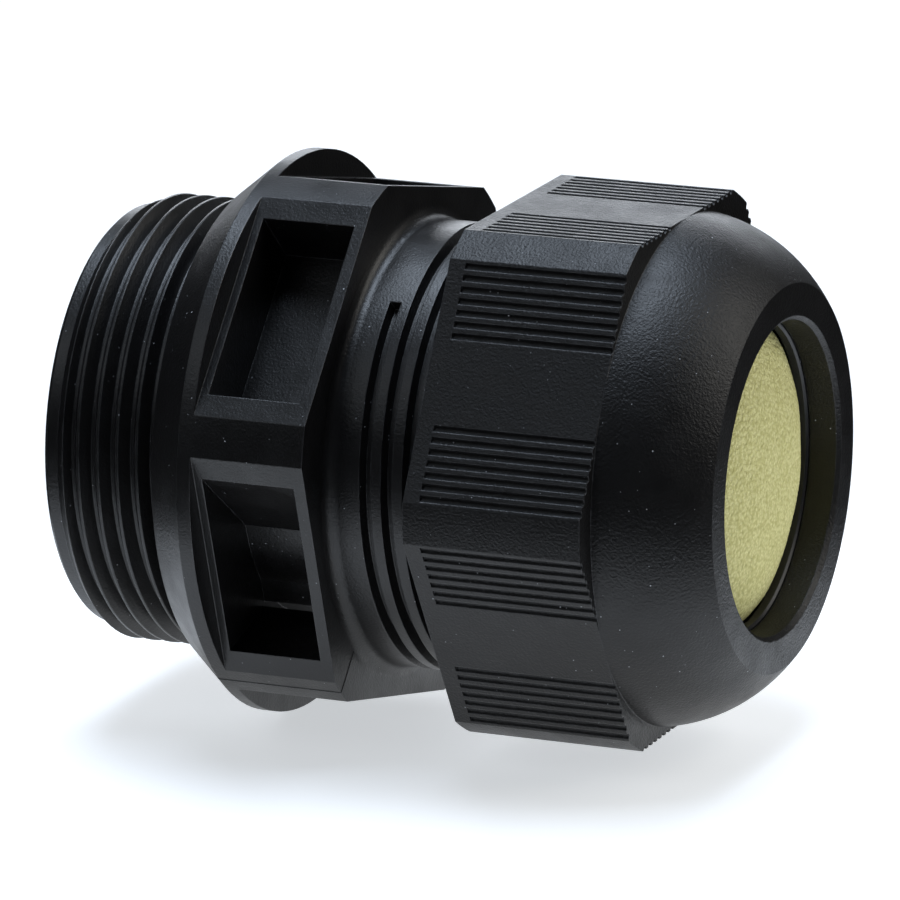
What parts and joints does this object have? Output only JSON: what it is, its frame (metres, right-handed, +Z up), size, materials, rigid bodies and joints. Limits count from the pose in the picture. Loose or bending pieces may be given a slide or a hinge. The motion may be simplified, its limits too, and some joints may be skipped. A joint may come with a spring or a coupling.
{
  "type": "cable gland",
  "caption": "Plastic cable gland with a threaded entry, a pocketed hexagon body, a domed clamping nut and a foam dust plug in its mouth.",
  "frame": {"origin": "centre of the sealing face, where the collar meets the enclosure wall, on the gland's axis", "axes": "+X along the axis from the entry thread to the dome nut, +Z up, the nut's hexagon with a corner along Y"},
  "size_m": [0.0495, 0.04, 0.04],
  "materials": {
    "body_polyamide": "moulded, semi-matt",
    "nut_polyamide": "moulded, fine grain, matt",
    "cage_polyamide": "moulded, semi-matt",
    "ring_polyamide": "moulded, semi-matt",
    "seal_rubber": "smooth rubber, matt",
    "plug_foam": "fine-celled foam, pale yellow"
  },
  "bodies": {
    "gland_body": {"gland_body": "body_polyamide", "cage_ring": "cage_polyamide", "seal_sleeve": "seal_rubber"},
    "thrust_ring": {"thrust_ring": "ring_polyamide"},
    "dome_nut": {"dome_nut": "nut_polyamide"},
    "dust_plug": {"dust_plug": "plug_foam"},
    "clamping_finger_01": {"clamping_finger_01": "cage_polyamide"},
    "clamping_finger_02": {"clamping_finger_02": "cage_polyamide"},
    "clamping_finger_03": {"clamping_finger_03": "cage_polyamide"},
    "clamping_finger_04": {"clamping_finger_04": "cage_polyamide"},
    "clamping_finger_05": {"clamping_finger_05": "cage_polyamide"},
    "clamping_finger_06": {"clamping_finger_06": "cage_polyamide"},
    "clamping_finger_07": {"clamping_finger_07": "cage_polyamide"},
    "clamping_finger_08": {"clamping_finger_08": "cage_polyamide"},
    "clamping_finger_09": {"clamping_finger_09": "cage_polyamide"},
    "clamping_finger_10": {"clamping_finger_10": "cage_polyamide"},
    "clamping_finger_11": {"clamping_finger_11": "cage_polyamide"},
    "clamping_finger_12": {"clamping_finger_12": "cage_polyamide"},
    "clamping_finger_13": {"clamping_finger_13": "cage_polyamide"},
    "clamping_finger_14": {"clamping_finger_14": "cage_polyamide"}
  },
  "joints": [
    {"name": "nut_travel", "type": "slide", "parent": "gland_body", "child": "thrust_ring", "axis": [1, 0, 0], "range_m": [-0.0056, 0.0012]},
    {"name": "nut_turn", "type": "hinge", "parent": "thrust_ring", "child": "dome_nut", "pos_m": [0, 0, 0], "axis": [1, 0, 0], "range_deg": [-1260, 270]},
    {"name": "plug_pull", "type": "slide", "parent": "dome_nut", "child": "dust_plug", "axis": [1, 0, 0], "range_m": [0, 0.02]},
    {"name": "finger_01_flex", "type": "hinge", "parent": "gland_body", "child": "clamping_finger_01", "pos_m": [0.0249, 0.01304, 0.00298], "axis": [0, 0.2225, -0.9749], "range_deg": [-2.25, 10.31], "deforming": ["seal_sleeve"]},
    {"name": "finger_02_flex", "type": "hinge", "parent": "gland_body", "child": "clamping_finger_02", "pos_m": [0.0249, 0.01046, 0.00834], "axis": [0, 0.6235, -0.7818], "range_deg": [-2.25, 10.31], "deforming": ["seal_sleeve"]},
    {"name": "finger_03_flex", "type": "hinge", "parent": "gland_body", "child": "clamping_finger_03", "pos_m": [0.0249, 0.0058, 0.01205], "axis": [0, 0.901, -0.4339], "range_deg": [-2.25, 10.31], "deforming": ["seal_sleeve"]},
    {"name": "finger_04_flex", "type": "hinge", "parent": "gland_body", "child": "clamping_finger_04", "pos_m": [0.0249, 0, 0.01338], "axis": [0, 1, 0], "range_deg": [-2.25, 10.31], "deforming": ["seal_sleeve"]},
    {"name": "finger_05_flex", "type": "hinge", "parent": "gland_body", "child": "clamping_finger_05", "pos_m": [0.0249, -0.0058, 0.01205], "axis": [0, 0.901, 0.4339], "range_deg": [-2.25, 10.31], "deforming": ["seal_sleeve"]},
    {"name": "finger_06_flex", "type": "hinge", "parent": "gland_body", "child": "clamping_finger_06", "pos_m": [0.0249, -0.01046, 0.00834], "axis": [0, 0.6235, 0.7818], "range_deg": [-2.25, 10.31], "deforming": ["seal_sleeve"]},
    {"name": "finger_07_flex", "type": "hinge", "parent": "gland_body", "child": "clamping_finger_07", "pos_m": [0.0249, -0.01304, 0.00298], "axis": [0, 0.2225, 0.9749], "range_deg": [-2.25, 10.31], "deforming": ["seal_sleeve"]},
    {"name": "finger_08_flex", "type": "hinge", "parent": "gland_body", "child": "clamping_finger_08", "pos_m": [0.0249, -0.01304, -0.00298], "axis": [0, -0.2225, 0.9749], "range_deg": [-2.25, 10.31], "deforming": ["seal_sleeve"]},
    {"name": "finger_09_flex", "type": "hinge", "parent": "gland_body", "child": "clamping_finger_09", "pos_m": [0.0249, -0.01046, -0.00834], "axis": [0, -0.6235, 0.7818], "range_deg": [-2.25, 10.31], "deforming": ["seal_sleeve"]},
    {"name": "finger_10_flex", "type": "hinge", "parent": "gland_body", "child": "clamping_finger_10", "pos_m": [0.0249, -0.0058, -0.01205], "axis": [0, -0.901, 0.4339], "range_deg": [-2.25, 10.31], "deforming": ["seal_sleeve"]},
    {"name": "finger_11_flex", "type": "hinge", "parent": "gland_body", "child": "clamping_finger_11", "pos_m": [0.0249, 0, -0.01338], "axis": [0, -1, 0], "range_deg": [-2.25, 10.31], "deforming": ["seal_sleeve"]},
    {"name": "finger_12_flex", "type": "hinge", "parent": "gland_body", "child": "clamping_finger_12", "pos_m": [0.0249, 0.0058, -0.01205], "axis": [0, -0.901, -0.4339], "range_deg": [-2.25, 10.31], "deforming": ["seal_sleeve"]},
    {"name": "finger_13_flex", "type": "hinge", "parent": "gland_body", "child": "clamping_finger_13", "pos_m": [0.0249, 0.01046, -0.00834], "axis": [0, -0.6235, -0.7818], "range_deg": [-2.25, 10.31], "deforming": ["seal_sleeve"]},
    {"name": "finger_14_flex", "type": "hinge", "parent": "gland_body", "child": "clamping_finger_14", "pos_m": [0.0249, 0.01304, -0.00298], "axis": [0, -0.2225, -0.9749], "range_deg": [-2.25, 10.31], "deforming": ["seal_sleeve"]}
  ],
  "couplings": [
    {"joint": "nut_travel", "follows": "nut_turn", "m_per_rad": 0.00025465},
    {"joint": "finger_01_flex", "follows": "nut_turn", "ratio": -0.0081818},
    {"joint": "finger_02_flex", "follows": "nut_turn", "ratio": -0.0081818},
    {"joint": "finger_03_flex", "follows": "nut_turn", "ratio": -0.0081818},
    {"joint": "finger_04_flex", "follows": "nut_turn", "ratio": -0.0081818},
    {"joint": "finger_05_flex", "follows": "nut_turn", "ratio": -0.0081818},
    {"joint": "finger_06_flex", "follows": "nut_turn", "ratio": -0.0081818},
    {"joint": "finger_07_flex", "follows": "nut_turn", "ratio": -0.0081818},
    {"joint": "finger_08_flex", "follows": "nut_turn", "ratio": -0.0081818},
    {"joint": "finger_09_flex", "follows": "nut_turn", "ratio": -0.0081818},
    {"joint": "finger_10_flex", "follows": "nut_turn", "ratio": -0.0081818},
    {"joint": "finger_11_flex", "follows": "nut_turn", "ratio": -0.0081818},
    {"joint": "finger_12_flex", "follows": "nut_turn", "ratio": -0.0081818},
    {"joint": "finger_13_flex", "follows": "nut_turn", "ratio": -0.0081818},
    {"joint": "finger_14_flex", "follows": "nut_turn", "ratio": -0.0081818}
  ]
}
